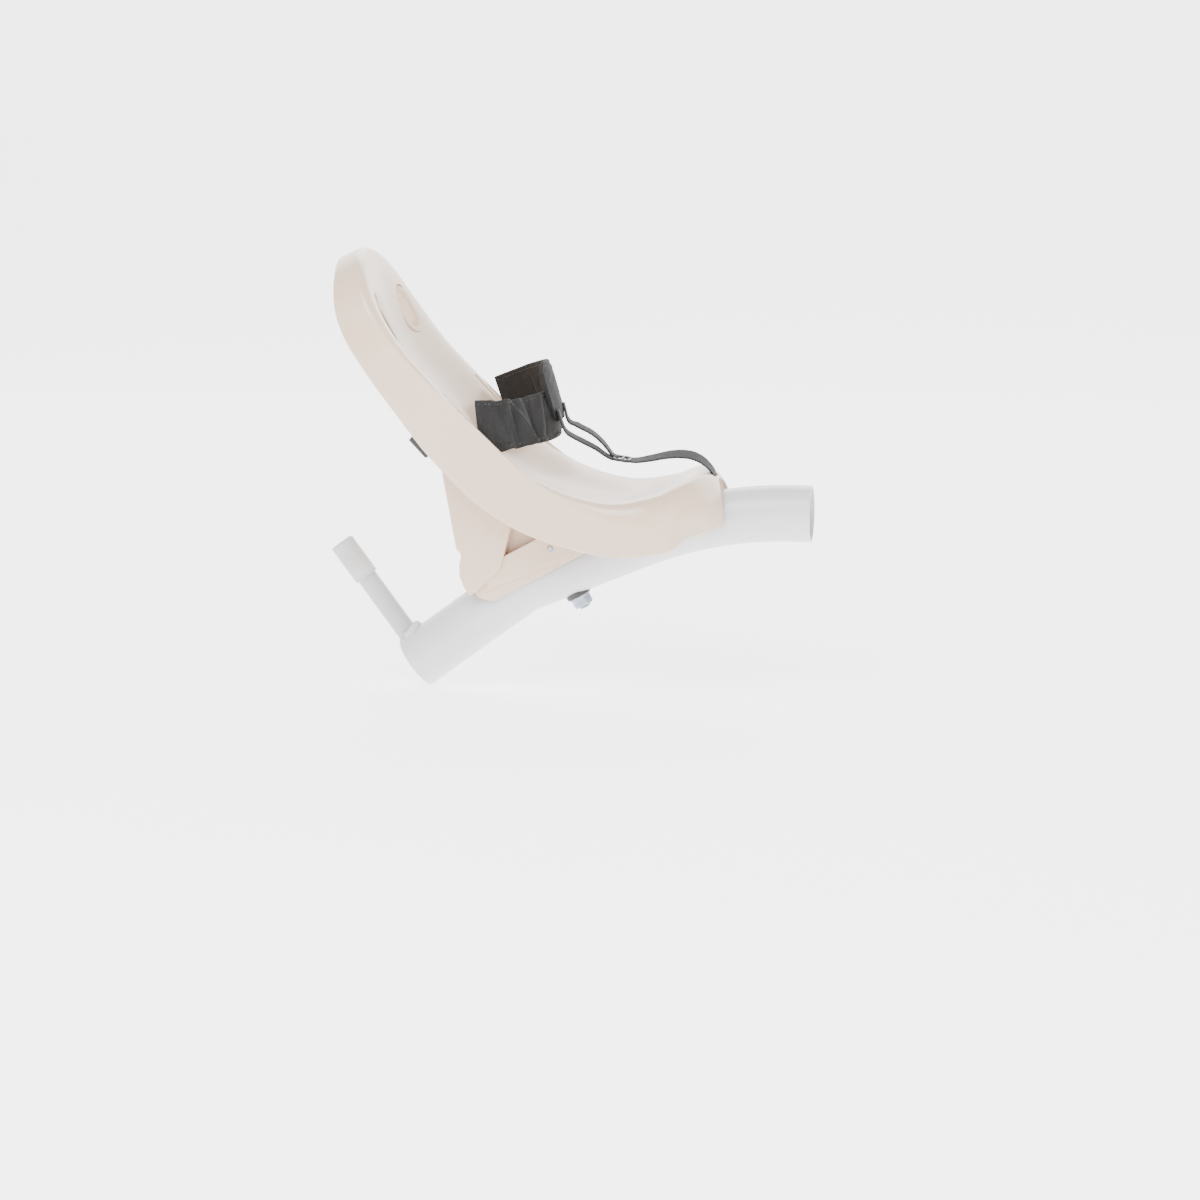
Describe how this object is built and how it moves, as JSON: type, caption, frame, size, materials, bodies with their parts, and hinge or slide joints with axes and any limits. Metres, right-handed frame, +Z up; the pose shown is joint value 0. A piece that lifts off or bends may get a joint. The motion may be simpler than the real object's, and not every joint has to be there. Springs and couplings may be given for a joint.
{
  "type": "infant bouncer seat",
  "caption": "Moulded infant seat with a padded lap belt and crotch strap, clamped on a bent tube arm that it slides along, with an upright handle at the arm's low end.",
  "frame": {"origin": "centre of the arm's open front end", "axes": "+X out of the arm's front end, the way the sitter faces; +Z up; Y across the seat"},
  "size_m": [0.6062, 0.259, 0.5487],
  "materials": {
    "ivory_plastic": "glossy, smooth",
    "arm_paint": "satin powder coat",
    "handle_paint": "satin powder coat",
    "grey_plastic": "satin",
    "zinc": "zinc plated",
    "black_plastic": "satin",
    "belt_cloth": "woven, quilted",
    "hook_loop": "fuzzy pile",
    "webbing": "woven"
  },
  "bodies": {
    "arm": {"arm_tube": "arm_paint", "arm_end_plug": "arm_paint", "handle_tube": "handle_paint", "handle_weld": "arm_paint", "handle_cap": "grey_plastic", "clamp_bolt": "zinc", "slot_washer": "zinc", "saddle_washer": "black_plastic", "flat_washer": "zinc"},
    "seat": {"seat_shell": "ivory_plastic", "support_leg": "ivory_plastic", "slide_shoe": "ivory_plastic", "shoe_liner": "black_plastic", "shell_screws": "zinc", "cheek_screws": "zinc", "port_bezel_left": "ivory_plastic", "port_bezel_right": "ivory_plastic", "belt_left": "belt_cloth", "belt_right": "belt_cloth", "loop_patch": "hook_loop", "hook_patch": "hook_loop", "rear_strap": "webbing", "rear_slider": "black_plastic", "crotch_strap": "webbing", "crotch_branch_left": "webbing", "crotch_branch_right": "webbing", "crotch_slider": "black_plastic", "crotch_retainer": "black_plastic"},
    "nut": {"clamp_nut": "zinc"}
  },
  "joints": [
    {"name": "seat_slide", "type": "slide", "parent": "arm", "child": "seat", "axis": [-0.8746, 0, -0.4848], "range_m": [0, 0.045]},
    {"name": "nut_spin", "type": "hinge", "parent": "arm", "child": "nut", "pos_m": [-0.3091, 0, -0.07648], "axis": [-0.4848, 0, 0.8746], "continuous": true}
  ]
}
